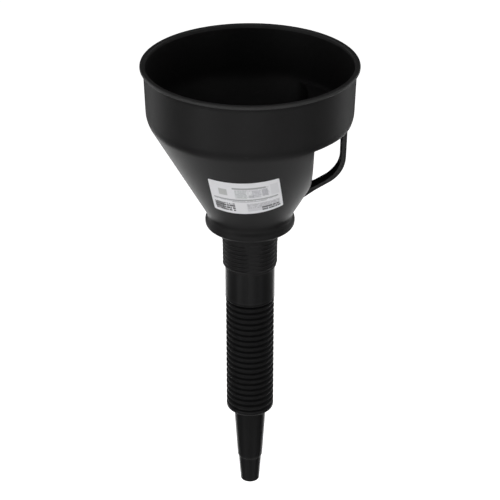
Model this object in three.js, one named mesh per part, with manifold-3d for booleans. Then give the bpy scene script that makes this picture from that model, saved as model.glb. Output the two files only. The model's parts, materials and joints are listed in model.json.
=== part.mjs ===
// Hand funnel for fuel and oil: a wide moulded bowl with a strap handle, a
// lift-out sieve at the bottom of its cone, and a flexible corrugated spout
// that ends in a tapered nozzle.
//
// Millimetres, +Z up. The origin is on the axis, in the plane of the collar's
// underside, where the funnel sits on a container's mouth. The handle points
// along +X and the label faces -Y.

import * as THREE from 'three';
import { mergeVertices } from 'three/addons/utils/BufferGeometryUtils.js';
import Module from 'manifold-3d';

// ---------------------------------------------------------------- dimensions

const GAP = 0.3; // air between pieces that rest on each other

// Bowl: heights are above the collar's underside, radii from the axis.
const RIM_Z = 130.6; // top edge of the rim
const RIM_R = 80; // outside of the rim's bead
const BEAD_H = 2.6; // height of the bead
const BEAD_ROUND = 0.8; // its rounded edges
const WALL_R_TOP = 77.6; // upright wall, outside, just under the bead
const WALL_R_LOW = 76.4; // the same wall where it turns into the cone
const SHOULDER_Z = 89.6; // where wall and cone would meet without rounding
const SHOULDER_ROUND = 22; // radius of that rounding
const CONE_R_LOW = 32.8; // foot of the cone, outside
const WALL = 1.8; // wall thickness
const RIM_INNER_R = 76.2; // wall, inside, at the rim

// Collar and threaded neck
const COLLAR_R = 33.9; // around its bulge
const COLLAR_H = 11.4;
const COLLAR_EDGE = 2; // sloping lower edge
const COLLAR_BULGE_Z = 4.8; // top of the bulge
const COLLAR_WAIST_R = 32.5; // waist between the bulge and the cone
const COLLAR_WAIST_Z = 8;
const SEAT_Z = 2.4; // floor inside the collar, which carries the spout
const NECK_LEN = 35.5; // below the collar's underside
const NECK_R_TOP = 21; // root of the thread at the collar
const NECK_R_LOW = 20; // root of the thread at the lower end
const NECK_BORE_R = 19.4;
const THREAD_PITCH = 3.5;
const THREAD_R = 0.9; // radius of the rounded thread
const THREAD_TOP_Z = -9.5; // the neck is plain above this
const THREAD_STEPS_PER_TURN = 16;
const NECK_FLAT_Y = 20; // mould flats that interrupt the thread, front and back

// Finger recess under the shoulder, and the strap handle across it
const RECESS_X = 45.7; // upright back wall of the recess
const SHELF_Z = 87; // its ceiling, the underside of the bowl
const HANDLE_WIDTH = 11;
const HANDLE_EDGE = 0.6; // rounded edges of the strap
const HANDLE_OUT = { x: 71.2, bendZ: 57, ctrlX: 70.6, ctrlZ: 45, armX: 60, armZ: 37.7 };
const HANDLE_IN = { x: 67.2, bendZ: 56, ctrlX: 66.6, ctrlZ: 47.2, armX: 57.5, armZ: 39.6 };
const HANDLE_FOOT_X = 41; // the arm runs in to here before the bowl cuts it off
const ARM_SLOPE = 0.63; // fall of the lower arm per millimetre inward

// Printed label, wrapped on the front of the cone
const LABEL_WIDTH = 52.4;
const LABEL_HEIGHT = 38.6;
const LABEL_THICK = 0.25;
const LABEL_TILT = 6.3; // degrees, anticlockwise on the flattened cone
const LABEL_SHIFT = -3; // sideways on the flattened cone
const LABEL_SLANT = 107.7; // distance of its centre from the cone's apex

// Spout: a sleeve in the neck, then the corrugated tube, then the nozzle
const SPOUT_R = 19.1;
const SPOUT_BORE_R = 17.1;
const SPOUT_END_Z = -64.3; // lower end of the smooth sleeve
const FLANGE_H = 2.4; // flange that rests on the seat inside the collar
const RIDGE_R = 18.7;
const GROOVE_R = 16.9;
const RIDGES = 20;
const TUBE_LEN = 99.7;
const LINKS = 9; // lengths of tube between two flex points, two ridges each
const FLEX_GAP = 3.2; // opening in the outside at each flex point
const BALL_R = 16; // cuff that hangs into the next length
const BALL_DROP = 4.5; // how far the cuff reaches below its flex point
const SOCKET_CLEAR = 0.3;
const SOCKET_DROP = 7.1;
const TUBE_BORE_R = 14.4;

const NOZZLE_R_TOP = 12.9;
const NOZZLE_R_STEP = 10;
const NOZZLE_STEP = 0.7; // ledge where the nozzle narrows
const NOZZLE_R_END = 7.6;
const NOZZLE_STEP_Z = -211.9;
const NOZZLE_END_Z = -236;
const NOZZLE_WALL = 1.7;

// Sieve: a ring with two crossed bars over a disc of fine mesh
const SIEVE_R = 23;
const SIEVE_OPEN_R = 18;
const SIEVE_H = 2.5;
const SIEVE_BAR = 5;
const SIEVE_BAR_H = 1.8;
const MESH_H = 0.4;

const ROUND = 44; // facets around the bowl
const TUBE_ROUND = 24; // facets around the tube

// ----------------------------------------------------- values that follow

const CONE_SLOPE = (WALL_R_LOW - CONE_R_LOW) / (SHOULDER_Z - COLLAR_H);
const CONE_HALF_ANGLE = Math.atan(CONE_SLOPE);
const WALL_ACROSS = WALL / Math.cos(CONE_HALF_ANGLE); // cone wall, measured level
const PITCH = TUBE_LEN / RIDGES;
const TUBE_END_Z = SPOUT_END_Z - TUBE_LEN;
const FLANGE_Z = SEAT_Z + GAP;
const FLANGE_TOP = FLANGE_Z + FLANGE_H;
const SIEVE_Z = FLANGE_TOP + GAP;

const coneR = (z) => CONE_R_LOW + (z - COLLAR_H) * CONE_SLOPE;
const coneInnerR = (z) => coneR(z) - WALL_ACROSS;
const flexZ = (i) => SPOUT_END_Z - 2 * PITCH * i; // height of flex point i

// ----------------------------------------------------------------- materials

const plastic = (color, roughness) =>
  new THREE.MeshStandardMaterial({ color, roughness, metalness: 0 });

const BOWL_BLACK = plastic(0x1d1e20, 0.5);
const SPOUT_BLACK = plastic(0x17181a, 0.42);
const SIEVE_BLACK = plastic(0x1a1b1d, 0.5);
const MESH_GREY = plastic(0xb9bcbe, 0.6);
const LABEL_WHITE = plastic(0xe4e5e6, 0.55);

// ------------------------------------------------------------------- solids

const wasm = await Module();
wasm.setup();

// A closed geometry as a solid for cutting and joining.
function solid(geometry) {
  const bare = geometry.clone();
  bare.deleteAttribute('normal');
  bare.deleteAttribute('uv');
  const merged = mergeVertices(bare);
  const index = merged.index.array;
  const triangles = [];
  for (let i = 0; i < index.length; i += 3) {
    const [a, b, c] = [index[i], index[i + 1], index[i + 2]];
    if (a !== b && b !== c && c !== a) triangles.push(a, b, c);
  }
  return new wasm.Manifold(new wasm.Mesh({
    numProp: 3,
    vertProperties: new Float32Array(merged.attributes.position.array),
    triVerts: new Uint32Array(triangles),
  }));
}

function geometryOf(body) {
  const mesh = body.getMesh();
  const geometry = new THREE.BufferGeometry();
  geometry.setAttribute('position', new THREE.BufferAttribute(mesh.vertProperties, 3));
  geometry.setIndex(new THREE.BufferAttribute(mesh.triVerts, 1));
  geometry.computeVertexNormals();
  return geometry;
}

const p = (r, z) => new THREE.Vector2(r, z);

// Turns a profile of (radius, height) points about Z.
function turned(points, segments = ROUND) {
  const outline = [...points];
  if (THREE.ShapeUtils.area(outline) < 0) outline.reverse();
  const onAxis = outline[0].x === 0 && outline.at(-1).x === 0;
  if (!onAxis) outline.push(outline[0].clone());
  return new THREE.LatheGeometry(outline, segments).rotateX(Math.PI / 2);
}

function block(x0, x1, y0, y1, z0, z1) {
  const box = new THREE.BoxGeometry(x1 - x0, y1 - y0, z1 - z0);
  return solid(box.translate((x0 + x1) / 2, (y0 + y1) / 2, (z0 + z1) / 2));
}

// Points of the arc that rounds the corner between two straight lines.
function rounded(before, corner, after, radius, steps) {
  const inDir = corner.clone().sub(before).normalize();
  const outDir = after.clone().sub(corner).normalize();
  const half = inDir.angleTo(outDir) / 2;
  const reach = radius * Math.tan(half);
  const start = corner.clone().addScaledVector(inDir, -reach);
  const end = corner.clone().addScaledVector(outDir, reach);
  const curve = new THREE.QuadraticBezierCurve(start, corner, end);
  return curve.getPoints(steps);
}

// Part of a circle about (0, centreZ), from one height to another.
function arc(radius, centreZ, fromOffset, toOffset, steps) {
  const points = [];
  const from = Math.asin(fromOffset / radius);
  const to = Math.asin(toOffset / radius);
  for (let i = 0; i <= steps; i++) {
    const angle = from + (to - from) * i / steps;
    points.push(p(radius * Math.cos(angle), centreZ + radius * Math.sin(angle)));
  }
  return points;
}

// --------------------------------------------------------------------- bowl

// Everything inside the bowl's outer surface, grown by a clearance.
function bowlOutside(grow = 0) {
  const shoulder = rounded(
    p(coneR(COLLAR_H), COLLAR_H), p(WALL_R_LOW, SHOULDER_Z), p(WALL_R_TOP, RIM_Z), SHOULDER_ROUND, 3);
  const profile = [
    p(0, -NECK_LEN),
    p(NECK_R_LOW, -NECK_LEN),
    p(NECK_R_TOP, 0),
    p(COLLAR_R - COLLAR_EDGE, 0),
    p(COLLAR_R, COLLAR_EDGE),
    p(COLLAR_R, COLLAR_BULGE_Z),
    p(COLLAR_WAIST_R, COLLAR_WAIST_Z),
    p(CONE_R_LOW, COLLAR_H),
    ...shoulder,
    p(WALL_R_TOP, RIM_Z - BEAD_H),
    p(RIM_R - BEAD_ROUND, RIM_Z - BEAD_H),
    p(RIM_R, RIM_Z - BEAD_H + BEAD_ROUND),
    p(RIM_R, RIM_Z - BEAD_ROUND),
    p(RIM_R - BEAD_ROUND, RIM_Z),
    p(0, RIM_Z),
  ];
  for (const point of profile) point.x += point.x > 0 ? grow : 0;
  const recess = block(RECESS_X + grow, RIM_R + 5, -RIM_R, RIM_R, COLLAR_H, SHELF_Z - grow);
  return solid(turned(profile)).subtract(recess);
}

// The hollow of the bowl, down to the seat and through the neck.
function bowlHollow() {
  const cornerZ = COLLAR_H + (WALL_R_LOW - WALL - CONE_R_LOW + WALL_ACROSS) / CONE_SLOPE;
  const shoulder = rounded(
    p(coneInnerR(SEAT_Z), SEAT_Z), p(WALL_R_LOW - WALL, cornerZ), p(RIM_INNER_R, RIM_Z),
    SHOULDER_ROUND - WALL, 3);
  const profile = [
    p(0, -NECK_LEN - 1),
    p(NECK_BORE_R, -NECK_LEN - 1),
    p(NECK_BORE_R, SEAT_Z),
    p(coneInnerR(SEAT_Z), SEAT_Z),
    ...shoulder,
    p(RIM_INNER_R, RIM_Z - BEAD_ROUND),
    p(RIM_INNER_R + BEAD_ROUND, RIM_Z),
    p(RIM_INNER_R + BEAD_ROUND, RIM_Z + 1),
    p(0, RIM_Z + 1),
  ];
  const behindRecess = block(RECESS_X - WALL, RIM_R, -RIM_R, RIM_R, COLLAR_H, SHELF_Z + WALL);
  return solid(turned(profile)).subtract(behindRecess);
}

// Line down the middle of the neck's thread, which narrows with the neck.
class ThreadLine extends THREE.Curve {
  constructor(z0, z1) {
    super();
    this.z0 = z0;
    this.z1 = z1;
    this.turns = (z1 - z0) / THREAD_PITCH;
  }

  getPoint(t, target = new THREE.Vector3()) {
    const z = this.z0 + (this.z1 - this.z0) * t;
    const r = NECK_R_TOP + (NECK_R_LOW - NECK_R_TOP) * (-z / NECK_LEN);
    const angle = 2 * Math.PI * this.turns * t;
    return target.set(r * Math.cos(angle), r * Math.sin(angle), z);
  }
}

function neckThread() {
  const line = new ThreadLine(-NECK_LEN + 1.5 * THREAD_R, THREAD_TOP_Z);
  const section = new THREE.Shape();
  section.absarc(0, 0, THREAD_R, 0, 2 * Math.PI);
  const thread = solid(new THREE.ExtrudeGeometry(section, {
    steps: Math.round(line.turns * THREAD_STEPS_PER_TURN),
    curveSegments: 3,
    extrudePath: line,
  }));
  const front = block(-RIM_R, RIM_R, -RIM_R, -NECK_FLAT_Y, -NECK_LEN, 0);
  const back = block(-RIM_R, RIM_R, NECK_FLAT_Y, RIM_R, -NECK_LEN, 0);
  return thread.subtract(front).subtract(back);
}

// The moulding in two pieces: the bowl, and the collar with its neck.
function funnelBowl() {
  const below = block(-RIM_R, RIM_R, -RIM_R, RIM_R, -NECK_LEN - 1, COLLAR_H + GAP);
  return bowlOutside().subtract(below).subtract(bowlHollow());
}

function threadedCollar() {
  const span = block(-RIM_R, RIM_R, -RIM_R, RIM_R, -NECK_LEN - 1, COLLAR_H);
  return bowlOutside().intersect(span).add(neckThread()).subtract(bowlHollow());
}

// ------------------------------------------------------------------- handle

function carryHandle() {
  const top = SHELF_Z - GAP;
  const foot = (side) => side.armZ - (side.armX - HANDLE_FOOT_X) * ARM_SLOPE;
  const outline = new THREE.Shape();
  outline.moveTo(HANDLE_OUT.x, top);
  outline.lineTo(HANDLE_IN.x, top);
  outline.lineTo(HANDLE_IN.x, HANDLE_IN.bendZ);
  outline.quadraticCurveTo(HANDLE_IN.ctrlX, HANDLE_IN.ctrlZ, HANDLE_IN.armX, HANDLE_IN.armZ);
  outline.lineTo(HANDLE_FOOT_X, foot(HANDLE_IN));
  outline.lineTo(HANDLE_FOOT_X, foot(HANDLE_OUT));
  outline.lineTo(HANDLE_OUT.armX, HANDLE_OUT.armZ);
  outline.quadraticCurveTo(HANDLE_OUT.ctrlX, HANDLE_OUT.ctrlZ, HANDLE_OUT.x, HANDLE_OUT.bendZ);
  outline.closePath();
  const strap = new THREE.ExtrudeGeometry(outline, {
    depth: HANDLE_WIDTH - 2 * HANDLE_EDGE,
    curveSegments: 6,
    bevelThickness: HANDLE_EDGE,
    bevelSize: HANDLE_EDGE,
    bevelOffset: -HANDLE_EDGE,
    bevelSegments: 1,
  });
  strap.translate(0, 0, HANDLE_EDGE - HANDLE_WIDTH / 2).rotateX(Math.PI / 2);
  return solid(strap).subtract(bowlOutside(GAP));
}

// -------------------------------------------------------------------- label

// A flat sheet bent onto the cone: a point's place on the flattened cone
// gives its angle about the axis and its distance from the cone's apex.
function productLabel() {
  const sheet = new THREE.BoxGeometry(LABEL_WIDTH, LABEL_HEIGHT, LABEL_THICK, 14, 4, 1);
  sheet.rotateZ(THREE.MathUtils.degToRad(LABEL_TILT));
  sheet.translate(LABEL_SHIFT, LABEL_SLANT, 0);
  const sin = Math.sin(CONE_HALF_ANGLE);
  const cos = Math.cos(CONE_HALF_ANGLE);
  const apexZ = COLLAR_H - CONE_R_LOW / CONE_SLOPE;
  const lift = GAP + LABEL_THICK / 2;
  const place = sheet.attributes.position;
  for (let i = 0; i < place.count; i++) {
    const slant = Math.hypot(place.getX(i), place.getY(i));
    const angle = Math.atan2(place.getX(i), place.getY(i)) / sin;
    const off = place.getZ(i) + lift;
    const r = slant * sin + off * cos;
    place.setXYZ(i, r * Math.sin(angle), -r * Math.cos(angle), apexZ + slant * cos - off * sin);
  }
  return solid(sheet);
}

// -------------------------------------------------------------------- sieve

function sieveFrame() {
  const ring = turned([
    p(SIEVE_OPEN_R, SIEVE_Z),
    p(SIEVE_R, SIEVE_Z),
    p(SIEVE_R, SIEVE_Z + SIEVE_H - 0.6),
    p(SIEVE_R - 0.6, SIEVE_Z + SIEVE_H),
    p(SIEVE_OPEN_R, SIEVE_Z + SIEVE_H),
  ], 32);
  let frame = solid(ring);
  for (const angle of [Math.PI / 4, -Math.PI / 4]) {
    const bar = new THREE.BoxGeometry(2 * SIEVE_OPEN_R + 3, SIEVE_BAR, SIEVE_BAR_H);
    bar.translate(0, 0, SIEVE_Z + SIEVE_H - SIEVE_BAR_H / 2).rotateZ(angle);
    frame = frame.add(solid(bar));
  }
  return frame;
}

function sieveMesh() {
  return solid(turned([
    p(0, SIEVE_Z),
    p(SIEVE_OPEN_R - GAP, SIEVE_Z),
    p(SIEVE_OPEN_R - GAP, SIEVE_Z + MESH_H),
    p(0, SIEVE_Z + MESH_H),
  ], 32));
}

// -------------------------------------------------------------------- spout

// Cuff below a flex point: outside of the ball, its lower edge, and its bore.
function cuff(z) {
  return [
    ...arc(BALL_R, z, FLEX_GAP / 2, -BALL_DROP, 3),
    p(TUBE_BORE_R, z - BALL_DROP),
  ];
}

// Socket around the cuff above, from its floor up to the open end.
const socket = (z) => arc(BALL_R + SOCKET_CLEAR, z, -SOCKET_DROP, -FLEX_GAP / 2, 3);

// Two ridges with a groove between them, from the upper edge down.
function ridgePair(topZ, bottomZ) {
  const middle = (topZ + bottomZ) / 2;
  return [
    p(RIDGE_R, topZ),
    p(RIDGE_R, middle + 1.1),
    p(GROOVE_R, middle + 0.4),
    p(GROOVE_R, middle - 0.4),
    p(RIDGE_R, middle - 1.1),
    p(RIDGE_R, bottomZ),
  ];
}

function spoutSleeve() {
  const z = SPOUT_END_Z + FLEX_GAP / 2;
  const flangeR = (height) => coneInnerR(height) - 1.5 * GAP;
  return solid(turned([
    p(SPOUT_BORE_R, FLANGE_TOP),
    p(flangeR(FLANGE_TOP), FLANGE_TOP),
    p(flangeR(FLANGE_Z), FLANGE_Z),
    p(SPOUT_R, FLANGE_Z),
    p(SPOUT_R, z + 1.2),
    p(SPOUT_R - 1.2, z),
    ...cuff(SPOUT_END_Z),
    p(TUBE_BORE_R, z + 2),
    p(SPOUT_BORE_R, z + 5),
  ]));
}

function tubeLink(i) {
  const upper = flexZ(i);
  const lower = flexZ(i + 1);
  return solid(turned([
    ...ridgePair(upper - FLEX_GAP / 2, lower + FLEX_GAP / 2),
    ...cuff(lower),
    p(TUBE_BORE_R, upper - SOCKET_DROP - 0.3),
    ...socket(upper),
  ], TUBE_ROUND));
}

function nozzle() {
  const upper = flexZ(LINKS);
  const floor = upper - SOCKET_DROP - 0.3;
  return solid(turned([
    ...ridgePair(upper - FLEX_GAP / 2, TUBE_END_Z + 1),
    p(RIDGE_R - 1, TUBE_END_Z),
    p(NOZZLE_R_TOP, TUBE_END_Z),
    p(NOZZLE_R_STEP, NOZZLE_STEP_Z),
    p(NOZZLE_R_STEP - NOZZLE_STEP, NOZZLE_STEP_Z),
    p(NOZZLE_R_END, NOZZLE_END_Z),
    p(NOZZLE_R_END - NOZZLE_WALL, NOZZLE_END_Z),
    p(NOZZLE_R_STEP - NOZZLE_STEP - NOZZLE_WALL, NOZZLE_STEP_Z),
    p(NOZZLE_R_TOP - NOZZLE_WALL, TUBE_END_Z),
    p(TUBE_BORE_R, floor),
    ...socket(upper),
  ], TUBE_ROUND));
}

// ----------------------------------------------------------------- assembly

function piece(name, body, material) {
  const mesh = new THREE.Mesh(geometryOf(body), material);
  mesh.name = name;
  return mesh;
}

const funnel = new THREE.Group();
funnel.add(
  piece('funnel_bowl', funnelBowl(), BOWL_BLACK),
  piece('threaded_collar', threadedCollar(), BOWL_BLACK),
  piece('carry_handle', carryHandle(), BOWL_BLACK),
  piece('product_label', productLabel(), LABEL_WHITE),
  piece('sieve_frame', sieveFrame(), SIEVE_BLACK),
  piece('sieve_mesh', sieveMesh(), MESH_GREY),
);

const spout = new THREE.Group();
spout.add(piece('spout_sleeve', spoutSleeve(), SPOUT_BLACK));
for (let i = 0; i < LINKS; i++) {
  spout.add(piece(`tube_link_${i + 1}`, tubeLink(i), SPOUT_BLACK));
}
spout.add(piece('nozzle', nozzle(), SPOUT_BLACK));
funnel.add(spout);

export default funnel;
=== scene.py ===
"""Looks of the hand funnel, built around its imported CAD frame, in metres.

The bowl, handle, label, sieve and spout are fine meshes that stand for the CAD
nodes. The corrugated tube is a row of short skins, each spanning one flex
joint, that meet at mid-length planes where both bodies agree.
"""

import json
import math

import bpy
import numpy as np
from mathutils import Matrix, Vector

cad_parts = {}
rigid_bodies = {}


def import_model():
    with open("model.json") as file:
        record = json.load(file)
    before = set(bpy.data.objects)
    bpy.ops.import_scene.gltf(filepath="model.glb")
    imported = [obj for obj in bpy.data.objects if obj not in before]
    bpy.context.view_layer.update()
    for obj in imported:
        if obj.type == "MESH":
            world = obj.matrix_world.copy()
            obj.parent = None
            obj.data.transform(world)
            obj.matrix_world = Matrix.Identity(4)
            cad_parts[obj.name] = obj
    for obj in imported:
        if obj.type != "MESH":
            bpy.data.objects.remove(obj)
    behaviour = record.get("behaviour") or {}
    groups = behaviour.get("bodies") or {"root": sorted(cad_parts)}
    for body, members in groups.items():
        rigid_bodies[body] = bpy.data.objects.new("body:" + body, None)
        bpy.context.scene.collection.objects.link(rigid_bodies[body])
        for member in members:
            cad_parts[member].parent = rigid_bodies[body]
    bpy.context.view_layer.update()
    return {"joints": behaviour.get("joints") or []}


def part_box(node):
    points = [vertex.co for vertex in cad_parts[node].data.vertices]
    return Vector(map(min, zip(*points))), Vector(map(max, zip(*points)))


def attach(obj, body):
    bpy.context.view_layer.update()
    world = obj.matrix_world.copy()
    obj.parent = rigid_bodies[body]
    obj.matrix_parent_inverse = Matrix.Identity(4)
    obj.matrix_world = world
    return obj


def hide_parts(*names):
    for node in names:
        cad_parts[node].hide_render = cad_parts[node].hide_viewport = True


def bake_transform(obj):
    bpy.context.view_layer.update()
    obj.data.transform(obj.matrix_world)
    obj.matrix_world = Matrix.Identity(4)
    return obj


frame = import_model()

MM = 0.001
GAP = 0.3 * MM  # air between the CAD's solids

# ------------------------------------------------------------ from the frame

RIM_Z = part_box("funnel_bowl")[1].z
RIM_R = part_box("funnel_bowl")[1].y
COLLAR_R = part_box("threaded_collar")[1].y
NECK_END_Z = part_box("threaded_collar")[0].z
SLEEVE_TOP_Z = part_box("spout_sleeve")[1].z
RIDGE_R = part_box("tube_link_1")[1].x
NOZZLE_END_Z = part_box("nozzle")[0].z
SIEVE_LOW, SIEVE_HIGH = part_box("sieve_frame")
NET_LOW, NET_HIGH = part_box("sieve_mesh")
HANDLE_LOW, HANDLE_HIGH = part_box("carry_handle")
FLEX_Z = [j["pos_m"][2] for j in frame["joints"] if j["name"].startswith("flex_")]
FLEX_BODIES = [(j["parent"], j["child"]) for j in frame["joints"] if j["name"].startswith("flex_")]
LINK_PITCH = FLEX_Z[0] - FLEX_Z[1]

# --------------------------------------------------------- driving dimensions

# Bowl
WALL = 1.8 * MM
WALL_R_TOP = RIM_R - 2.4 * MM
WALL_R_LOW = RIM_R - 3.6 * MM
RIM_INNER_R = RIM_R - 3.8 * MM
SHOULDER_Z = 89.6 * MM
SHOULDER_ROUND = 22 * MM
COLLAR_H = 11.4 * MM
COLLAR_EDGE = 2.7 * MM
COLLAR_BULGE_Z = 4.4 * MM
COLLAR_WAIST_R = 32.5 * MM
COLLAR_WAIST_Z = 8.2 * MM
CONE_R_LOW = 32.8 * MM
BEAD_H = 2.6 * MM
BEAD_FILLET = 0.7 * MM  # where the bead meets the wall below it
BEAD_ROUND_LOW = 1 * MM  # and its three rounded edges
BEAD_ROUND_TOP = 1.2 * MM
BEAD_ROUND_IN = 1 * MM
# Depth of the band at the top that gets a painted highlight in the plastic's colour:
RIM_HIGHLIGHT_DEPTH = 2.9 * MM  # the bead and a little of the wall below it
SEAT_Z = 2.4 * MM
RECESS_X = 45.7 * MM
SHELF_Z = HANDLE_HIGH.z + GAP
RECESS_ROUND = 3.2 * MM
RECESS_ROUND_IN = 14 * MM

# Neck
NECK_ROOT_Z = (NECK_END_Z, -17 * MM, -8 * MM, 0)
NECK_ROOT_R = (19.85 * MM, 19.95 * MM, 20.6 * MM, 21.3 * MM)
NECK_BORE_R = 19.4 * MM
NECK_FILLET = 0.8 * MM  # where the neck meets the collar
THREAD_H = 1.05 * MM
THREAD_PITCH = 3.5 * MM
THREAD_TOP_Z = -9 * MM
THREAD_ROW_STEP = 0.28 * MM
THREAD_FLAT_R = 19.9 * MM
THREAD_FLAT_TURN = math.radians(8)

# Spout
SPOUT_R = 19.1 * MM
SPOUT_BORE_R = 17.1 * MM
TUBE_WALL = 1.1 * MM
GROOVE_DEPTH = 2.0 * MM
RIDGE_PITCH = LINK_PITCH / 2
SLEEVE_END_Z = FLEX_Z[0] + 2.6 * MM
TUBE_END_Z = FLEX_Z[-1] - LINK_PITCH
NOZZLE_R_TOP = 12.9 * MM
NOZZLE_R_STEP = 10 * MM
NOZZLE_STEP = 0.7 * MM
NOZZLE_R_END = 7.6 * MM
NOZZLE_STEP_Z = -211.9 * MM
NOZZLE_WALL = 1.7 * MM
TUBE_END_ROUND = 1.4 * MM
NOZZLE_FILLET = 0.8 * MM  # where the nozzle leaves the tube's flat end
STEP_ROUND = 0.35 * MM
TIP_ROUND = 0.6 * MM

# Strap handle seen from the side, as (distance out, height) on its outer and inner edges
STRAP_OUT_TOP_X = 72.0 * MM
STRAP_OUT_BEND = (71.2 * MM, 57 * MM)
STRAP_OUT_CONTROL = (70.6 * MM, 44.6 * MM)
STRAP_OUT_ARM = (60.4 * MM, 37.2 * MM)
STRAP_OUT_FOOT = (40.6 * MM, 24.9 * MM)
STRAP_IN_TOP_X = 67.4 * MM
STRAP_IN_BEND = (66.9 * MM, 56 * MM)
STRAP_IN_CONTROL = (66.3 * MM, 47.2 * MM)
STRAP_IN_ARM = (57.4 * MM, 39.9 * MM)
STRAP_IN_FOOT = (43.4 * MM, 31.2 * MM)
STRAP_EDGE = 1.2 * MM  # its rounded long edges
STRAP_CORNER_POINTS = 7
STRAP_ROOT_THICKER = 0.25  # shares added where it joins the bowl
STRAP_ROOT_WIDER = 0.12

# Mould's parting line on the spout
SEAM_TURN = math.radians(86)
SEAM_H = 0.14 * MM
SEAM_WIDTH = 0.5 * MM

# Sieve
SIEVE_OPEN_R = 18 * MM
SIEVE_BAR = 5 * MM
SIEVE_ROUND_OUT = 0.9 * MM
SIEVE_ROUND_IN = 0.7 * MM
SIEVE_BAR_THICK = 1.8 * MM
SIEVE_BAR_EDGE = 0.5 * MM
SIEVE_BAR_STAGGER = 0.02 * MM  # keeps the crossed bars' faces apart
NET_PITCH = 1.15 * MM
NET_WIRE_R = 0.16 * MM

# Label, on the flattened cone
LABEL_WIDTH = 52.4 * MM
LABEL_HEIGHT = 38.6 * MM
LABEL_TILT = math.radians(6.3)
LABEL_SHIFT = -3 * MM
LABEL_SLANT = 107.7 * MM
LABEL_THICK = 0.12 * MM
LABEL_LIFT = 0.02 * MM
LABEL_CORNER = 1.2 * MM

# Floor
FLOOR_DROP = 0.35
FLOOR_REACH = 12.0

# Camera
CAMERA_LENS = 124
CAMERA_DOWN = math.radians(28.5)
CAMERA_DISTANCE = 1.3185
CAMERA_TARGET = Vector((0, 0, -23.6 * MM))

CONE_SLOPE = (WALL_R_LOW - CONE_R_LOW) / (SHOULDER_Z - COLLAR_H)
CONE_HALF_ANGLE = math.atan(CONE_SLOPE)
WALL_ACROSS = WALL / math.cos(CONE_HALF_ANGLE)

BOWL_SECTORS = 320
TUBE_SECTORS = 96
SLEEVE_SECTORS = 240
SKIN_STEPS = 36


# ----------------------------------------------------------------- mesh tools

def new_object(name, verts, faces, material, sharp=40):
    """A smooth-shaded mesh whose edges sharper than the given degrees stay crisp."""
    mesh = bpy.data.meshes.new(name)
    mesh.from_pydata([tuple(v) for v in verts], [], [tuple(f) for f in faces])
    mesh.polygons.foreach_set("use_smooth", [True] * len(mesh.polygons))
    mesh.set_sharp_from_angle(angle=math.radians(sharp))
    mesh.materials.append(material)
    mesh.update()
    obj = bpy.data.objects.new(name, mesh)
    bpy.context.scene.collection.objects.link(obj)
    return obj


def signed_volume(verts, quads):
    """Six times the volume that the quads enclose, negative where they face inward."""
    a, b, c, d = (verts[quads[:, i]] for i in range(4))
    halves = (a * np.cross(b, c)).sum(axis=1) + (a * np.cross(c, d)).sum(axis=1)
    return float(halves.sum())


def turned(name, rows, sectors, material, sharp=40):
    """A closed shell from rows of (radius, height) round the axis; the last row joins the first."""
    angles = np.linspace(0, 2 * math.pi, sectors, endpoint=False)
    verts = np.empty((len(rows), sectors, 3))
    for k, (r, z) in enumerate(rows):
        verts[k, :, 0] = r * np.cos(angles)
        verts[k, :, 1] = r * np.sin(angles)
        verts[k, :, 2] = z
    k = np.arange(len(rows))[:, None]
    i = np.arange(sectors)[None, :]
    k_next, i_next = (k + 1) % len(rows), (i + 1) % sectors
    corners = (k * sectors + i, k * sectors + i_next, k_next * sectors + i_next, k_next * sectors + i)
    quads = np.stack([np.broadcast_to(c, (len(rows), sectors)) for c in corners], -1).reshape(-1, 4)
    verts = verts.reshape(-1, 3)
    if signed_volume(verts, quads) < 0:
        quads = quads[:, ::-1]
    return new_object(name, verts, quads, material, sharp)


def arc(r_mid, z_mid, radius, start, end, steps):
    """Points of an arc in the (radius, height) plane, angles in degrees from outward."""
    turns = [math.radians(start + (end - start) * i / steps) for i in range(steps + 1)]
    return [(r_mid + radius * math.cos(t), z_mid + radius * math.sin(t)) for t in turns]


def line(r0, z0, r1, z1, steps):
    """Points of a straight stretch, without its two ends."""
    return [(r0 + (r1 - r0) * i / steps, z0 + (z1 - z0) * i / steps) for i in range(1, steps)]


def smooth_min(a, b, width):
    """The smaller of two values, rounded where they cross."""
    h = np.clip(0.5 + 0.5 * (b - a) / width, 0, 1)
    return b + (a - b) * h - width * h * (1 - h)


def smooth_step(x, low, high):
    """Eases from 0 at low to 1 at high."""
    t = np.clip((x - low) / (high - low), 0, 1)
    return t * t * (3 - 2 * t)


# ------------------------------------------------------------------ materials

def nodes_of(name):
    """A new material with its node tree and its surface shader."""
    material = bpy.data.materials.new(name)
    material.use_nodes = True
    tree = material.node_tree
    return material, tree, tree.nodes["Principled BSDF"]


def noise(tree, source, scale, detail=4, roughness=0.5):
    node = tree.nodes.new("ShaderNodeTexNoise")
    node.inputs["Scale"].default_value = scale
    node.inputs["Detail"].default_value = detail
    node.inputs["Roughness"].default_value = roughness
    tree.links.new(source, node.inputs["Vector"])
    return node.outputs["Fac"]


def ramp(tree, value, stops):
    """Maps a value through (place, grey) stops."""
    node = tree.nodes.new("ShaderNodeValToRGB")
    elements = node.color_ramp.elements
    while len(elements) < len(stops):
        elements.new(0.5)
    for element, (place, colour) in zip(elements, stops):
        element.position = place
        element.color = (colour, colour, colour, 1)
    tree.links.new(value, node.inputs["Fac"])
    return node.outputs["Color"]


def math_node(tree, operation, a, b=0.0, addend=0.5):
    """A maths node; only MULTIPLY_ADD uses the addend."""
    node = tree.nodes.new("ShaderNodeMath")
    node.operation = operation
    for socket, value in zip(node.inputs, (a, b, addend)):
        if isinstance(value, (int, float)):
            socket.default_value = value
        else:
            tree.links.new(value, socket)
    return node.outputs[0]


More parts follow.
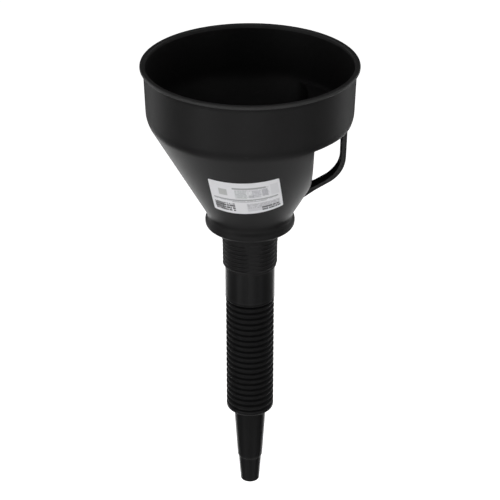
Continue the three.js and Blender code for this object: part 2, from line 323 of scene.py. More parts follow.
def mix_colour(tree, factor, a, b):
    """Colour a where the factor is 0, b where it is 1."""
    node = tree.nodes.new("ShaderNodeMix")
    node.data_type = "RGBA"
    for socket, value in ((node.inputs[0], factor), (node.inputs[6], a), (node.inputs[7], b)):
        if isinstance(value, (int, float)):
            socket.default_value = value
        elif isinstance(value, tuple):
            socket.default_value = (*value, 1)
        else:
            tree.links.new(value, socket)
    return node.outputs[2]


def bump(tree, height, strength, distance, normal=None):
    node = tree.nodes.new("ShaderNodeBump")
    node.inputs["Strength"].default_value = strength
    node.inputs["Distance"].default_value = distance
    tree.links.new(height, node.inputs["Height"])
    if normal is not None:
        tree.links.new(normal, node.inputs["Normal"])
    return node.outputs["Normal"]


def black_plastic(name, colour, wear_and_highlight, roughness, grain, grain_scale, scuff, specular):
    """Moulded plastic: faint mottling, fine grain, hairline scuffs, and a patchy painted highlight on
    convex edges and along the rim.
    """
    material, tree, shader = nodes_of(name)
    shader.inputs["Specular IOR Level"].default_value = specular
    place = tree.nodes.new("ShaderNodeTexCoord").outputs["Object"]
    mottle = noise(tree, place, 38, 5, 0.6)
    fine = noise(tree, place, grain_scale, 3, 0.55)
    cloud = noise(tree, place, 9, 3)
    stretch = tree.nodes.new("ShaderNodeMapping")
    stretch.inputs["Rotation"].default_value = (0.5, 0.3, 0.8)
    stretch.inputs["Scale"].default_value = (1, 14, 9)
    tree.links.new(place, stretch.inputs["Vector"])
    hair = noise(tree, stretch.outputs[0], 130, 2, 0.7)
    scuffs = ramp(tree, hair, [(0.66, 0.0), (0.73, 1.0)])
    base = mix_colour(tree, mottle, tuple(c * 0.8 for c in colour), tuple(c * 1.25 for c in colour))
    base = mix_colour(tree, math_node(tree, "MULTIPLY", scuffs, scuff * 0.5), base, wear_and_highlight)
    # Painted highlight: convex edges, found by pointiness, are lightened in patches towards the paler
    # colour.
    pointiness = tree.nodes.new("ShaderNodeNewGeometry").outputs["Pointiness"]
    edge = ramp(tree, pointiness, [(0.53, 0.0), (0.64, 1.0)])
    painted_edge_highlight = math_node(tree, "MULTIPLY", edge, math_node(tree, "MULTIPLY", cloud, 0.8))
    base = mix_colour(tree, painted_edge_highlight, base, wear_and_highlight)
    # Painted highlight: the band at the rim is lightened towards the paler colour, patchy with the
    # mottling.
    split = tree.nodes.new("ShaderNodeSeparateXYZ")
    tree.links.new(place, split.inputs[0])
    rim_band = math_node(tree, "GREATER_THAN", split.outputs["Z"], RIM_Z - RIM_HIGHLIGHT_DEPTH)
    painted_rim_highlight = math_node(tree, "MULTIPLY", rim_band, math_node(tree, "MULTIPLY_ADD", mottle, 0.9, 0.5))
    base = mix_colour(tree, painted_rim_highlight, base, wear_and_highlight)
    tree.links.new(base, shader.inputs["Base Color"])
    rough = math_node(tree, "MULTIPLY_ADD", cloud, 0.18, roughness - 0.09)
    rough = math_node(tree, "ADD", rough, math_node(tree, "MULTIPLY", scuffs, scuff * 0.2))
    tree.links.new(rough, shader.inputs["Roughness"])
    ripple = bump(tree, cloud, 0.25, 0.0006)
    tree.links.new(bump(tree, fine, grain, 0.3 / grain_scale, ripple), shader.inputs["Normal"])
    return material


BOWL_BLACK = black_plastic(
    "bowl_black", colour=(0.0085, 0.0082, 0.0085), wear_and_highlight=(0.045, 0.045, 0.045),
    roughness=0.5, grain=0.35, grain_scale=2400, scuff=0.5, specular=0.21)
HANDLE_BLACK = black_plastic(
    "handle_black", colour=(0.0035, 0.0035, 0.0035), wear_and_highlight=(0.028, 0.028, 0.028),
    roughness=0.34, grain=1.0, grain_scale=620, scuff=1.0, specular=0.34)
SPOUT_BLACK = black_plastic(
    "spout_black", colour=(0.0065, 0.0065, 0.0068), wear_and_highlight=(0.034, 0.034, 0.035),
    roughness=0.36, grain=0.2, grain_scale=2600, scuff=0.4, specular=0.21)
# The ribbed tube is the spout's plastic with darker base and paler colours, painted shade for light the
# ribs don't catch; its higher roughness is the ribs' duller finish.
TUBE_SHADED_BLACK = black_plastic(
    "tube_shaded_black", colour=(0.0045, 0.0046, 0.0048), wear_and_highlight=(0.02, 0.02, 0.021),
    roughness=0.54, grain=0.3, grain_scale=2600, scuff=0.3, specular=0.16)
SIEVE_BLACK = black_plastic(
    "sieve_black", colour=(0.014, 0.014, 0.014), wear_and_highlight=(0.06, 0.06, 0.06),
    roughness=0.42, grain=0.3, grain_scale=2400, scuff=0.4, specular=0.36)


def net_material():
    """Fine woven nylon, unevenly soiled."""
    material, tree, shader = nodes_of("net_white")
    place = tree.nodes.new("ShaderNodeTexCoord").outputs["Object"]
    tint = noise(tree, place, 260, 3)
    base = mix_colour(tree, tint, (0.52, 0.53, 0.54), (0.82, 0.83, 0.84))
    tree.links.new(base, shader.inputs["Base Color"])
    shader.inputs["Roughness"].default_value = 0.45
    tree.links.new(bump(tree, noise(tree, place, 3000, 2), 0.3, 0.00005), shader.inputs["Normal"])
    return material


NET_WHITE = net_material()


def label_material():
    """White film with grey blocks and broken lines, none of them lettering."""
    material, tree, shader = nodes_of("label_print")
    coords = tree.nodes.new("ShaderNodeTexCoord")
    split = tree.nodes.new("ShaderNodeSeparateXYZ")
    tree.links.new(coords.outputs["UV"], split.inputs[0])
    u, v = split.outputs["X"], split.outputs["Y"]

    def window(value, low, high, soft=0.006):
        node = tree.nodes.new("ShaderNodeMapRange")
        node.interpolation_type = "SMOOTHSTEP"
        tree.links.new(value, node.inputs["Value"])
        node.inputs["From Min"].default_value = low - soft
        node.inputs["From Max"].default_value = low + soft
        upper = tree.nodes.new("ShaderNodeMapRange")
        upper.interpolation_type = "SMOOTHSTEP"
        tree.links.new(value, upper.inputs["Value"])
        upper.inputs["From Min"].default_value = high + soft
        upper.inputs["From Max"].default_value = high - soft
        return math_node(tree, "MULTIPLY", node.outputs[0], upper.outputs[0])

    def block(u0, u1, v0, v1):
        return math_node(tree, "MULTIPLY", window(u, u0, u1), window(v, v0, v1, 0.009))

    def broken_rows(rows, scale, cut, gap=0.35):
        """Rows of short dashes of uneven length, further apart the larger the gap."""
        wave = math_node(tree, "SINE", math_node(tree, "MULTIPLY", v, rows * 2 * math.pi))
        bands = ramp(tree, math_node(tree, "MULTIPLY_ADD", wave, 0.5, 0.5), [(gap, 0.0), (gap + 0.25, 1.0)])
        step = math_node(tree, "FLOOR", math_node(tree, "MULTIPLY", v, rows))
        join = tree.nodes.new("ShaderNodeCombineXYZ")
        tree.links.new(math_node(tree, "MULTIPLY", u, scale), join.inputs["X"])
        tree.links.new(math_node(tree, "MULTIPLY", step, 3.7), join.inputs["Y"])
        dashes = ramp(tree, noise(tree, join.outputs[0], 1, 1), [(cut, 0.0), (cut + 0.05, 1.0)])
        return math_node(tree, "MULTIPLY", bands, dashes)

    small = broken_rows(22, 55, 0.42)
    large = broken_rows(13, 60, 0.4, 0.04)
    base = (0.93, 0.93, 0.955)
    prints = [
        # mask, strength, colour
        (block(0.33, 0.80, 0.80, 0.845), 0.8, (0.22, 0.23, 0.23)),
        (block(0.13, 0.25, 0.58, 0.78), 0.65, (0.36, 0.37, 0.34)),
        (block(0.36, 0.52, 0.50, 0.77), 0.45, (0.52, 0.56, 0.55)),
        (block(0.55, 0.62, 0.53, 0.60), 0.6, (0.38, 0.38, 0.41)),
        (block(0.60, 0.72, 0.52, 0.76), 0.35, (0.40, 0.39, 0.45)),
        (block(0.74, 0.82, 0.55, 0.77), 0.6, (0.32, 0.31, 0.36)),
        (block(0.86, 0.97, 0.52, 0.88), 0.35, (0.62, 0.62, 0.64)),
        (block(0.04, 0.95, 0.435, 0.465), 0.8, (0.2, 0.2, 0.21)),
        (block(0.30, 0.78, 0.385, 0.405), 0.7, (0.25, 0.26, 0.26)),
        (block(0.50, 0.96, 0.08, 0.33), 0.35, (0.42, 0.41, 0.45)),
        (block(0.045, 0.175, 0.09, 0.31), 0.75, (0.05, 0.05, 0.055)),
    ]
    for mask, strength, colour in prints:
        base = mix_colour(tree, math_node(tree, "MULTIPLY", mask, strength), base, colour)
    rows = [
        (block(0.04, 0.33, 0.08, 0.33), large, 1.0, (0.02, 0.02, 0.022)),
        (block(0.70, 0.96, 0.07, 0.20), large, 1.0, (0.03, 0.03, 0.032)),
        (block(0.50, 0.96, 0.17, 0.33), small, 0.5, (0.18, 0.18, 0.2)),
        (block(0.36, 0.84, 0.52, 0.84), small, 0.4, (0.25, 0.26, 0.27)),
        (block(0.05, 0.95, 0.40, 0.48), small, 0.4, (0.2, 0.2, 0.22)),
    ]
    for mask, pattern, strength, colour in rows:
        amount = math_node(tree, "MULTIPLY", math_node(tree, "MULTIPLY", mask, pattern), strength)
        base = mix_colour(tree, amount, base, colour)
    place = coords.outputs["Object"]
    soiling = math_node(tree, "MULTIPLY", noise(tree, place, 60, 4), 0.12)
    base = mix_colour(tree, soiling, base, (0.6, 0.6, 0.63))
    tree.links.new(base, shader.inputs["Base Color"])
    shader.inputs["Roughness"].default_value = 0.42
    shader.inputs["Specular IOR Level"].default_value = 0.9
    tree.links.new(bump(tree, noise(tree, place, 90, 3), 0.2, 0.0003), shader.inputs["Normal"])
    return material


LABEL_PRINT = label_material()


# ----------------------------------------------------------------------- bowl

def corner_arc(start, corner, end, radius, steps=12):
    """Rounds the corner between two straight lines in the (radius, height) plane."""
    a, b, c = (np.array(p, float) for p in (start, corner, end))
    into, out = (b - a) / np.linalg.norm(b - a), (c - b) / np.linalg.norm(c - b)
    half = math.acos(float(np.clip(into @ out, -1, 1))) / 2
    reach = radius * math.tan(half)
    first, last = b - into * reach, b + out * reach
    t = np.linspace(0, 1, steps + 1)[:, None]
    points = first * (1 - t) ** 2 + 2 * b * t * (1 - t) + last * t ** 2
    return [tuple(p) for p in points]


def wall_profile(inset_wall, inset_cone, radius):
    """Radius of the cone and wall at each height, as a function of height."""
    foot = (CONE_R_LOW - inset_cone, COLLAR_H)
    low_r = WALL_R_LOW - inset_wall
    corner_z = COLLAR_H + (low_r - foot[0]) / CONE_SLOPE
    top_r = RIM_INNER_R if inset_wall else WALL_R_TOP
    points = corner_arc(foot, (low_r, corner_z), (top_r, RIM_Z), radius)
    below = (foot[0] - CONE_SLOPE * COLLAR_H, 0.0)
    r, z = zip(below, *points, (top_r, RIM_Z))
    return lambda height: float(np.interp(height, z, r))


ANGLES = np.linspace(0, 2 * math.pi, BOWL_SECTORS, endpoint=False)


def with_recess(radius, plane_x, rounding):
    """The cone's radius all round, cut back by the upright plane of the finger recess."""
    facing = np.cos(ANGLES)
    plane = np.where(facing > 0.05, plane_x / np.maximum(facing, 0.05), 1.0)
    return smooth_min(np.full(BOWL_SECTORS, radius), plane, rounding)


def shelf_rows(profile, plane_x, rounding, z, rise):
    """Rows that step out from the recess to the shoulder, closely spaced at both edges."""
    shares = (0.0, 0.02, 0.06, 0.25, 0.5, 0.75, 0.93, 0.975, 1.0)
    lifts = (-0.6, -0.15, 0.0, 0.08, 0.16, 0.24, 0.32, 0.48, 0.85)
    rows = []
    for share, lift in zip(shares, lifts):
        height = z + lift * rise
        inner = with_recess(profile(height), plane_x, rounding)
        rows.append((inner + (profile(height) - inner) * share, height))
    return rows


def bowl_rows():
    """Up the outside of the cone and wall, over the bead, and down the inside to the seat."""
    outer = wall_profile(0, 0, SHOULDER_ROUND)
    inner = wall_profile(WALL, WALL_ACROSS, SHOULDER_ROUND - WALL)
    heights = np.linspace(COLLAR_H + 2.2 * MM, SHELF_Z - 1.6 * MM, 56)
    rows = [(with_recess(outer(z), RECESS_X, RECESS_ROUND), z) for z in heights]
    rows += shelf_rows(outer, RECESS_X, RECESS_ROUND, SHELF_Z, MM)
    heights = np.linspace(SHELF_Z + 1.6 * MM, SHELF_Z + 12 * MM, 16)
    rows += [(outer(z), z) for z in heights]
    bead_z = RIM_Z - BEAD_H
    rows += [(outer(z), z) for z in np.linspace(SHELF_Z + 15 * MM, bead_z - 0.9 * MM, 10)]
    rows += arc(WALL_R_TOP + BEAD_FILLET, bead_z - BEAD_FILLET, BEAD_FILLET, 180, 90, 3)
    rows += arc(RIM_R - BEAD_ROUND_LOW, bead_z + BEAD_ROUND_LOW, BEAD_ROUND_LOW, -90, 0, 5)
    rows += arc(RIM_R - BEAD_ROUND_TOP, RIM_Z - BEAD_ROUND_TOP, BEAD_ROUND_TOP, 0, 90, 6)
    rows += arc(RIM_INNER_R + BEAD_ROUND_IN, RIM_Z - BEAD_ROUND_IN, BEAD_ROUND_IN, 90, 180, 5)
    floor_z = SHELF_Z + WALL
    rows += [(inner(z), z) for z in np.linspace(RIM_Z - 2.5 * MM, floor_z + 14 * MM, 8)]
    rows += [(inner(z), z) for z in np.linspace(floor_z + 12 * MM, floor_z + 2.6 * MM, 14)]
    rows += shelf_rows(inner, RECESS_X - WALL, RECESS_ROUND_IN, floor_z, 2 * MM)[::-1]
    heights = np.linspace(floor_z - 2.4 * MM, COLLAR_H + 0.6 * MM, 50)
    rows += [(with_recess(inner(z), RECESS_X - WALL, RECESS_ROUND_IN), z) for z in heights]
    rows += [(inner(SEAT_Z), SEAT_Z)]
    return rows


def thread_radius(z):
    """Radius all round the neck at one height, over its right-handed rounded thread."""
    root = np.interp(z, NECK_ROOT_Z, NECK_ROOT_R)
    turn = z / THREAD_PITCH - ANGLES / (2 * math.pi)
    crest = (0.5 + 0.5 * np.cos(2 * math.pi * turn)) ** 1.6
    start = smooth_step(-z, -THREAD_TOP_Z, -THREAD_TOP_Z + 1.6 * MM)
    finish = smooth_step(z, NECK_END_Z + 0.2 * MM, NECK_END_Z + 1.5 * MM)
    radius = root + THREAD_H * crest * start * finish
    flat_r = THREAD_FLAT_R + 1.6 * MM * (1 - start)
    for side in (-math.pi / 2, math.pi / 2):
        facing = np.cos(ANGLES - side - THREAD_FLAT_TURN)
        flat = np.where(facing > 0.3, flat_r / np.maximum(facing, 0.3), 1.0)
        radius = np.where(facing > 0.3, smooth_min(radius, flat, 0.5 * MM), radius)
    return radius


def collar_radius(z):
    """Outside of the collar: a bulge, then a waist that runs smoothly into the cone."""
    waist = COLLAR_R - (COLLAR_R - COLLAR_WAIST_R) * float(smooth_step(z, COLLAR_BULGE_Z, COLLAR_WAIST_Z))
    cone = CONE_R_LOW + (z - COLLAR_H) * CONE_SLOPE
    return -float(smooth_min(np.array(-waist), np.array(-cone), 1.2 * MM))


def collar_rows():
    """Round the end of the neck, up over its thread, and over the collar to the cone."""
    rows = [(NECK_BORE_R, NECK_END_Z + 0.3 * MM), (NECK_BORE_R + 0.3 * MM, NECK_END_Z)]
    rows += [(NECK_ROOT_R[0] - 0.3 * MM, NECK_END_Z)]
    rows += [(thread_radius(z), z) for z in np.arange(NECK_END_Z + 0.3 * MM, -0.9 * MM, THREAD_ROW_STEP)]
    rows += arc(NECK_ROOT_R[-1] + NECK_FILLET, -NECK_FILLET, NECK_FILLET, 180, 90, 3)
    rows += arc(COLLAR_R - COLLAR_EDGE, COLLAR_EDGE, COLLAR_EDGE, -90, 0, 10)
    rows += [(collar_radius(z), z) for z in np.linspace(COLLAR_EDGE + 0.5 * MM, COLLAR_H + 1.4 * MM, 24)]
    return rows


def build_bowl():
    """One moulding: neck, collar, cone, recess, wall and beaded rim, inside and out."""
    seat = [(NECK_BORE_R + 0.4 * MM, SEAT_Z), (NECK_BORE_R, SEAT_Z - 0.4 * MM)]
    bowl = turned("bowl", collar_rows() + bowl_rows() + seat, BOWL_SECTORS, BOWL_BLACK, sharp=50)
    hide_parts("funnel_bowl", "threaded_collar")
    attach(bowl, "funnel")


# --------------------------------------------------------------------- handle

def curve(start, control, end, steps):
    """Points of a quadratic curve between two points."""
    t = np.linspace(0, 1, steps + 1)[:, None]
    start, control, end = (np.array(point) for point in (start, control, end))
    return start * (1 - t) ** 2 + 2 * control * t * (1 - t) + end * t ** 2


def strap_edge(top_x, bend, control, arm, foot):
    """One edge of the strap seen from the side: down from the shelf, round the bend, in to the cone."""
    drops = (-1.2 * MM, 1.5 * MM, 5 * MM, 14 * MM)
    lean = (bend[0] - top_x) / (SHELF_Z - bend[1])
    top = np.array([[top_x + lean * max(drop, 0), SHELF_Z - drop] for drop in drops])
    lower = np.linspace(arm, foot, 9)[1:]
    return np.concatenate([top, curve(bend, control, arm, 18), lower])


def build_handle():
    """Rounded strap swept down from the shelf and in to the cone, thicker where it joins."""
    outer = strap_edge(STRAP_OUT_TOP_X, STRAP_OUT_BEND, STRAP_OUT_CONTROL, STRAP_OUT_ARM, STRAP_OUT_FOOT)
    inner = strap_edge(STRAP_IN_TOP_X, STRAP_IN_BEND, STRAP_IN_CONTROL, STRAP_IN_ARM, STRAP_IN_FOOT)
    stations = len(outer)
    half_width = (HANDLE_HIGH.y - HANDLE_LOW.y) / 2
    edge = STRAP_EDGE
    corners = STRAP_CORNER_POINTS
    verts = []
    for k in range(stations):
        middle = (outer[k] + inner[k]) / 2
        across = (outer[k] - inner[k]) / 2
        thick = float(np.linalg.norm(across))
        across /= thick
        root_flare = max(0.0, 1 - k / 2) + max(0.0, (k - stations + 4) / 3)
        thick *= 1 + STRAP_ROOT_THICKER * root_flare
        wide = half_width * (1 + STRAP_ROOT_WIDER * root_flare)
        for sx, sy, first in ((1, 1, 0), (-1, 1, 90), (-1, -1, 180), (1, -1, 270)):
            for c in range(corners):
                turn = math.radians(first + 90 * c / (corners - 1))
                side = sx * (thick - edge) + edge * math.cos(turn)
                along = sy * (wide - edge) + edge * math.sin(turn)
                verts.append((middle[0] + across[0] * side, along, middle[1] + across[1] * side))
    ring = 4 * corners
    faces = []
    for k in range(stations - 1):
        for i in range(ring):
            j = (i + 1) % ring
            faces.append((k * ring + i, (k + 1) * ring + i, (k + 1) * ring + j, k * ring + j))
    faces.append(tuple(range(ring)))
    faces.append(tuple(range((stations - 1) * ring, stations * ring))[::-1])
    handle = new_object("strap_handle", verts, faces, HANDLE_BLACK)
    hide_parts("carry_handle")
    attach(handle, "funnel")


# ---------------------------------------------------------------------- label

def build_label():
    """A thin printed sheet bent onto the front of the cone, its corners slightly rounded."""
    columns, rows = 40, 28
    apex_z = COLLAR_H - CONE_R_LOW / CONE_SLOPE
    sin, cos = math.sin(CONE_HALF_ANGLE), math.cos(CONE_HALF_ANGLE)
    turn_cos, turn_sin = math.cos(LABEL_TILT), math.sin(LABEL_TILT)
    corner = LABEL_CORNER

    def place(u, v, lift):
        half_h = LABEL_HEIGHT / 2
        y = (v - 0.5) * LABEL_HEIGHT
        deep = max(0.0, abs(y) - (half_h - corner))
        half_w = LABEL_WIDTH / 2 - corner + math.sqrt(max(corner ** 2 - deep ** 2, 0))
        x = (u - 0.5) * 2 * half_w
        x, y = x * turn_cos - y * turn_sin + LABEL_SHIFT, x * turn_sin + y * turn_cos + LABEL_SLANT
        slant, angle = math.hypot(x, y), math.atan2(x, y) / sin
        r = slant * sin + lift * cos
        return (r * math.sin(angle), -r * math.cos(angle), apex_z + slant * cos - lift * sin)

    side = 1.5 * MM / LABEL_HEIGHT
    near_edge = [0, side * 0.15, side * 0.4]
    vs = near_edge + list(np.linspace(side, 1 - side, rows)) + [1 - v for v in reversed(near_edge)]
    us = np.linspace(0, 1, columns)
    verts, uvs = [], []
    for lift in (LABEL_LIFT, LABEL_LIFT + LABEL_THICK):
        for v in vs:
            for u in us:
                verts.append(place(u, v, lift))
                uvs.append((u, v))
    per_layer = len(vs) * columns
    faces = []
    for j in range(len(vs) - 1):
        for i in range(columns - 1):
            a = j * columns + i
            quad = (a, a + 1, a + 1 + columns, a + columns)
            faces.append(quad[::-1])
            faces.append(tuple(q + per_layer for q in quad))
    border = list(range(columns - 1))
    border += [j * columns + columns - 1 for j in range(len(vs) - 1)]
    border += [per_layer - 1 - i for i in range(columns - 1)]
    border += [j * columns for j in range(len(vs) - 1, 0, -1)]
    for a, b in zip(border, border[1:] + border[:1]):
        faces.append((a, b, b + per_layer, a + per_layer))
    label = new_object("label", verts, faces, LABEL_PRINT)
    layer = label.data.uv_layers.new(name="print")
    for loop in label.data.loops:
        layer.data[loop.index].uv = uvs[loop.vertex_index]
    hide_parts("product_label")
    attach(label, "funnel")


# ---------------------------------------------------------------------- sieve

def rounded_bar(name, length, width, low_z, high_z, turn, material):
    """A straight bar through the axis with rounded long edges."""
    edge = SIEVE_BAR_EDGE
    outline = []
    for sy, sz, first in ((1, 1, 0), (-1, 1, 90), (-1, -1, 180), (1, -1, 270)):
        for c in range(5):
            angle = math.radians(first + 22.5 * c)
            mid_z, half_z = (low_z + high_z) / 2, (high_z - low_z) / 2
            outline.append((sy * (width / 2 - edge) + edge * math.cos(angle),
                            mid_z + sz * (half_z - edge) + edge * math.sin(angle)))
    stations = np.linspace(-length / 2, length / 2, 25)
    cos, sin = math.cos(turn), math.sin(turn)
    verts = []
    for x in stations:
        for y, z in outline:
            verts.append((x * cos - y * sin, x * sin + y * cos, z))
    ring = len(outline)
    faces = []
    for k in range(len(stations) - 1):
        for i in range(ring):
            j = (i + 1) % ring
            faces.append((k * ring + i, (k + 1) * ring + i, (k + 1) * ring + j, k * ring + j)[::-1])
    faces.append(tuple(range(ring))[::-1])
    faces.append(tuple(range((len(stations) - 1) * ring, len(stations) * ring)))
    return new_object(name, verts, faces, material)


def build_sieve():
    """A ring with two crossed bars."""
    low, high, outer = SIEVE_LOW.z, SIEVE_HIGH.z, SIEVE_HIGH.y
    rows = [(SIEVE_OPEN_R, low + 0.2 * MM), (SIEVE_OPEN_R + 0.2 * MM, low), (outer - 0.3 * MM, low)]
    rows += [(outer, low + 0.3 * MM), (outer, high - SIEVE_ROUND_OUT - 0.2 * MM)]
    rows += arc(outer - SIEVE_ROUND_OUT, high - SIEVE_ROUND_OUT, SIEVE_ROUND_OUT, 0, 90, 6)[1:]
    rows += arc(SIEVE_OPEN_R + SIEVE_ROUND_IN, high - SIEVE_ROUND_IN, SIEVE_ROUND_IN, 90, 180, 5)
    ring = turned("sieve_ring", rows, TUBE_SECTORS, SIEVE_BLACK)
    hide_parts("sieve_frame")
    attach(ring, "sieve")
    bar_low, bar_high = high - SIEVE_BAR_THICK, high - 0.1 * MM
    for i, turn in enumerate((math.pi / 4, -math.pi / 4)):
        inset = i * SIEVE_BAR_STAGGER
        bar = rounded_bar(f"sieve_bar_{i + 1}", 2 * SIEVE_OPEN_R + 2 * MM, SIEVE_BAR,
                          bar_low + inset, bar_high - inset, turn, SIEVE_BLACK)
        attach(bar, "sieve")


def net_strand(reach, offset, along_x, phase, verts, faces):
    """One woven strand, rising and falling over its neighbours."""
    sides, mid_z = 6, (NET_LOW.z + NET_HIGH.z) / 2
    steps = max(8, int(2 * reach / NET_PITCH * 3))
    first = len(verts)
    for k in range(steps + 1):
        s = -reach + 2 * reach * k / steps
        z = mid_z + 0.9 * NET_WIRE_R * math.cos(math.pi * s / NET_PITCH + phase)
        for c in range(sides):
            turn = 2 * math.pi * c / sides
            across, up = offset + NET_WIRE_R * math.cos(turn), z + NET_WIRE_R * math.sin(turn)
            verts.append((s, across, up) if along_x else (across, s, up))
    for k in range(steps):
        for c in range(sides):
            d = (c + 1) % sides
            a, b = first + k * sides, first + (k + 1) * sides
            quad = (a + c, b + c, b + d, a + d)
            faces.append(quad if not along_x else quad[::-1])
    start_cap = tuple(first + c for c in range(sides))
    end_cap = tuple(first + steps * sides + c for c in reversed(range(sides)))
    caps = [start_cap, end_cap]
    faces.extend(caps if not along_x else [cap[::-1] for cap in caps])


def build_net():
    """Strands woven over and under each other across the sieve's opening."""
    radius = NET_HIGH.y - NET_WIRE_R
    count = int(radius / NET_PITCH)
    verts, faces = [], []
    for i in range(-count, count + 1):
        offset = i * NET_PITCH
        reach = math.sqrt(radius ** 2 - offset ** 2)
        if reach < 2 * NET_PITCH:
            continue
        net_strand(reach, offset, True, math.pi * (i % 2), verts, faces)
        net_strand(reach, offset, False, math.pi * ((i + 1) % 2), verts, faces)
    net = new_object("sieve_net", verts, faces, NET_WHITE)
    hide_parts("sieve_mesh")
    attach(net, "sieve")


# ---------------------------------------------------------------------- spout

def tube_radius(z):
    """Outside of the corrugated tube: rounded ridges with narrower grooves between."""
    phase = (FLEX_Z[0] - z) / RIDGE_PITCH
    wave = 0.5 + 0.5 * math.cos(2 * math.pi * phase)
    return RIDGE_R - GROOVE_DEPTH * float(smooth_step(wave, 0.12, 0.95))


def skin_rows(top_z, bottom_z, radius_at, steps):
    """A closed sleeve of even wall thickness between two heights."""
    heights = np.linspace(top_z, bottom_z, steps + 1)
    outer = [(radius_at(z), z) for z in heights]
    inner = [(r - TUBE_WALL, z) for r, z in outer]
    return outer + inner[::-1]


def first_skin_radius(z):
    """The sleeve's rounded lower edge, running into the first groove."""
    edge_z = FLEX_Z[0] + 1.6 * MM
    if z >= edge_z:
        return SPOUT_R
    if z > FLEX_Z[0]:
        t = (edge_z - z) / (edge_z - FLEX_Z[0])
        return SPOUT_R + (tube_radius(FLEX_Z[0]) - SPOUT_R) * (1 - math.sqrt(max(0.0, 1 - t ** 2.4)))
    return tube_radius(z)


def build_tube():
    """Ten skins, each from one mid-length groove to the next, spanning one flex joint."""
    for i, (flex_z, (above, below)) in enumerate(zip(FLEX_Z, FLEX_BODIES)):
        top = SLEEVE_END_Z if i == 0 else flex_z + RIDGE_PITCH
        bottom = flex_z - RIDGE_PITCH
        radius_at = first_skin_radius if i == 0 else tube_radius
        rows = skin_rows(top, bottom, radius_at, SKIN_STEPS)
        skin = turned(f"tube_skin_{i + 1}", rows, TUBE_SECTORS, TUBE_SHADED_BLACK)
        if i < len(FLEX_Z) - 1:
            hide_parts(f"tube_link_{i + 1}")
        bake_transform(skin)


def seamed(radius, sectors):
    """Radius all round, with the mould's parting line standing slightly proud at front and back."""
    angles = np.linspace(0, 2 * math.pi, sectors, endpoint=False)
    away = np.arccos(np.clip(np.abs(np.cos(angles - SEAM_TURN)), -1, 1)) * radius
    return radius + SEAM_H * np.exp(-((away / SEAM_WIDTH) ** 2))


def build_sleeve():
    """Smooth sleeve with the flange that rests on the seat inside the collar."""
    flange_z = SEAT_Z + GAP
    flange_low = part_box("spout_sleeve")[1].y - 1.4 * MM
    flange_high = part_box("spout_sleeve")[1].y
    rows = [(SPOUT_BORE_R + 0.4 * MM, SLEEVE_TOP_Z), (flange_high - 0.3 * MM, SLEEVE_TOP_Z)]
    rows += [(flange_high, SLEEVE_TOP_Z - 0.3 * MM), (flange_low, flange_z), (SPOUT_R + 0.4 * MM, flange_z)]
    rows += [(SPOUT_R, flange_z - 0.4 * MM)]
    plain = line(SPOUT_R, flange_z - 0.4 * MM, SPOUT_R, SLEEVE_END_Z, 30)
    rows += [(r if z > NECK_END_Z else seamed(r, SLEEVE_SECTORS), z) for r, z in plain]
    rows += [(SPOUT_R, SLEEVE_END_Z), (SPOUT_BORE_R, SLEEVE_END_Z)]
    rows += line(SPOUT_BORE_R, SLEEVE_END_Z, SPOUT_BORE_R, SLEEVE_TOP_Z - 0.4 * MM, 10)
    rows += [(SPOUT_BORE_R, SLEEVE_TOP_Z - 0.4 * MM)]
    sleeve = turned("sleeve", rows, SLEEVE_SECTORS, SPOUT_BLACK)
    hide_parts("spout_sleeve")
    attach(sleeve, "spout")


def build_nozzle():
    """Last ridge, flat end of the tube, and the tapered nozzle with its small step."""
    top = FLEX_Z[-1] - RIDGE_PITCH
    heights = np.linspace(top, TUBE_END_Z + 1.6 * MM, 14)
    last_crest_z = TUBE_END_Z + RIDGE_PITCH / 2
    rows = [(tube_radius(z) if z > last_crest_z else RIDGE_R, z) for z in heights]
    rows += arc(RIDGE_R - TUBE_END_ROUND, TUBE_END_Z + TUBE_END_ROUND, TUBE_END_ROUND, 0, -90, 7)[1:]
    rows += arc(NOZZLE_R_TOP + NOZZLE_FILLET, TUBE_END_Z - NOZZLE_FILLET, NOZZLE_FILLET, 90, 180, 4)
    taper = line(NOZZLE_R_TOP, TUBE_END_Z - NOZZLE_FILLET, NOZZLE_R_STEP, NOZZLE_STEP_Z + 0.5 * MM, 24)
    rows += [(seamed(r, SLEEVE_SECTORS), z) for r, z in taper]
    rows += arc(NOZZLE_R_STEP - STEP_ROUND, NOZZLE_STEP_Z + STEP_ROUND, STEP_ROUND, 0, -90, 3)
    narrow = NOZZLE_R_STEP - NOZZLE_STEP
    rows += [(narrow + 0.1 * MM, NOZZLE_STEP_Z - 0.02 * MM), (narrow, NOZZLE_STEP_Z - 0.3 * MM)]
    taper = line(narrow, NOZZLE_STEP_Z - 0.3 * MM, NOZZLE_R_END, NOZZLE_END_Z + 0.7 * MM, 14)
    rows += [(seamed(r, SLEEVE_SECTORS), z) for r, z in taper]
    rows += arc(NOZZLE_R_END - TIP_ROUND, NOZZLE_END_Z + TIP_ROUND, TIP_ROUND, 0, -90, 4)
    rows += [(NOZZLE_R_END - NOZZLE_WALL, NOZZLE_END_Z)]
    rows += [(narrow - NOZZLE_WALL, NOZZLE_STEP_Z), (NOZZLE_R_TOP - NOZZLE_WALL, TUBE_END_Z + 1.5 * MM)]
    rows += [(tube_radius(top) - TUBE_WALL, TUBE_END_Z + 2.5 * MM), (tube_radius(top) - TUBE_WALL, top)]
    nozzle = turned("nozzle_tip", rows, SLEEVE_SECTORS, SPOUT_BLACK)
    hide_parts("nozzle")
    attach(nozzle, "nozzle")


# ---------------------------------------------------------------------- stage

def area_light(name, place, size, power):
    """A soft box aimed at the origin, itself unseen."""
    light = bpy.data.lights.new(name, "AREA")
    light.shape = "RECTANGLE"
    light.size, light.size_y = size
    light.energy = power
    obj = bpy.data.objects.new(name, light)
    obj.location = place
    obj.rotation_euler = (-Vector(place)).to_track_quat("-Z", "Y").to_euler()
    obj.visible_camera = False
    bpy.context.scene.collection.objects.link(obj)


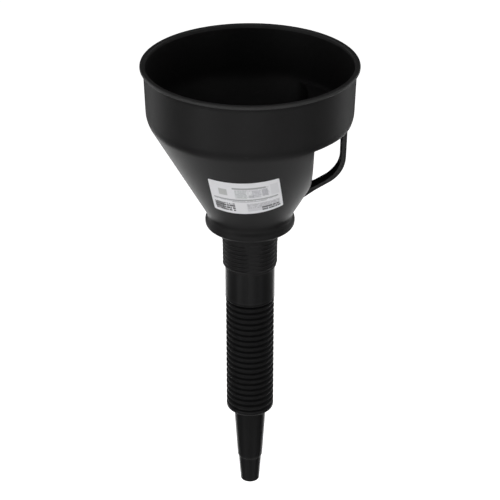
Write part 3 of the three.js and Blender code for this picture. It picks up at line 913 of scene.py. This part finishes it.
def build_stage():
    """A world that is white to the camera and lights almost nothing, and a self-lit floor."""
    scene = bpy.context.scene
    scene.view_settings.view_transform = "Standard"
    world = bpy.data.worlds.new("studio")
    scene.world = world
    world.use_nodes = True
    tree = world.node_tree
    background = tree.nodes["Background"]
    background.inputs["Color"].default_value = (0.003, 0.003, 0.003, 1)
    seen = tree.nodes.new("ShaderNodeBackground")
    seen.inputs["Color"].default_value = (1, 1, 1, 1)
    paths = tree.nodes.new("ShaderNodeLightPath")
    blend = tree.nodes.new("ShaderNodeMixShader")
    tree.links.new(paths.outputs["Is Camera Ray"], blend.inputs[0])
    tree.links.new(background.outputs[0], blend.inputs[1])
    tree.links.new(seen.outputs[0], blend.inputs[2])
    tree.links.new(blend.outputs[0], tree.nodes["World Output"].inputs["Surface"])

    floor_z = NOZZLE_END_Z - FLOOR_DROP
    mesh = bpy.data.meshes.new("floor")
    corners = [(x * FLOOR_REACH, y * FLOOR_REACH, floor_z) for x, y in ((-1, -1), (1, -1), (1, 1), (-1, 1))]
    mesh.from_pydata(corners, [], [(0, 1, 2, 3)])
    floor = bpy.data.objects.new("floor", mesh)
    scene.collection.objects.link(floor)
    pale = bpy.data.materials.new("pale_floor")
    pale.use_nodes = True
    shader = pale.node_tree.nodes["Principled BSDF"]
    shader.inputs["Base Color"].default_value = (0.9, 0.9, 0.9, 1)
    shader.inputs["Roughness"].default_value = 1.0
    shader.inputs["Emission Color"].default_value = (1, 1, 1, 1)
    shader.inputs["Emission Strength"].default_value = 1.0
    mesh.materials.append(pale)
    floor.visible_glossy = False
    floor.visible_diffuse = False


def build_lights():
    """Soft boxes all round, strongest below and behind, so that edges glow and the bowl stays dark."""
    tall, wide, broad = (0.7, 1.6), (1.6, 0.8), (1.6, 1.6)
    for side, tag in ((-1, "left"), (1, "right")):
        area_light(f"{tag}_side", (side * 1.4, 0, 0), tall, 2)
        area_light(f"{tag}_back", (side * 1.2, 0.8, 0), tall, 5)
    area_light("left_front", (-1.1, -1, 0), tall, 9)
    area_light("right_front", (1.1, -1, 0), tall, 5)
    area_light("below", (0, 0, -1.2), broad, 7)
    area_light("below_back", (0, 1, -1), wide, 12)
    area_light("front", (0, -1.5, -0.3), (1.2, 1), 7)
    area_light("above", (0, -0.3, 1.6), broad, 6)


def build_camera():
    """Looks along +Y, and down on the front of the funnel."""
    camera = bpy.data.cameras.new("camera")
    camera.lens = CAMERA_LENS
    camera.sensor_width = 36
    obj = bpy.data.objects.new("camera", camera)
    away = Vector((0, -math.cos(CAMERA_DOWN), math.sin(CAMERA_DOWN)))
    obj.location = CAMERA_TARGET + away * CAMERA_DISTANCE
    obj.rotation_euler = (math.pi / 2 - CAMERA_DOWN, 0, 0)
    camera.clip_start = 0.01
    camera.clip_end = 50
    bpy.context.scene.collection.objects.link(obj)
    bpy.context.scene.camera = obj


build_camera()
build_stage()
build_lights()
build_bowl()
build_handle()
build_label()
build_sieve()
build_net()
build_sleeve()
build_tube()
build_nozzle()
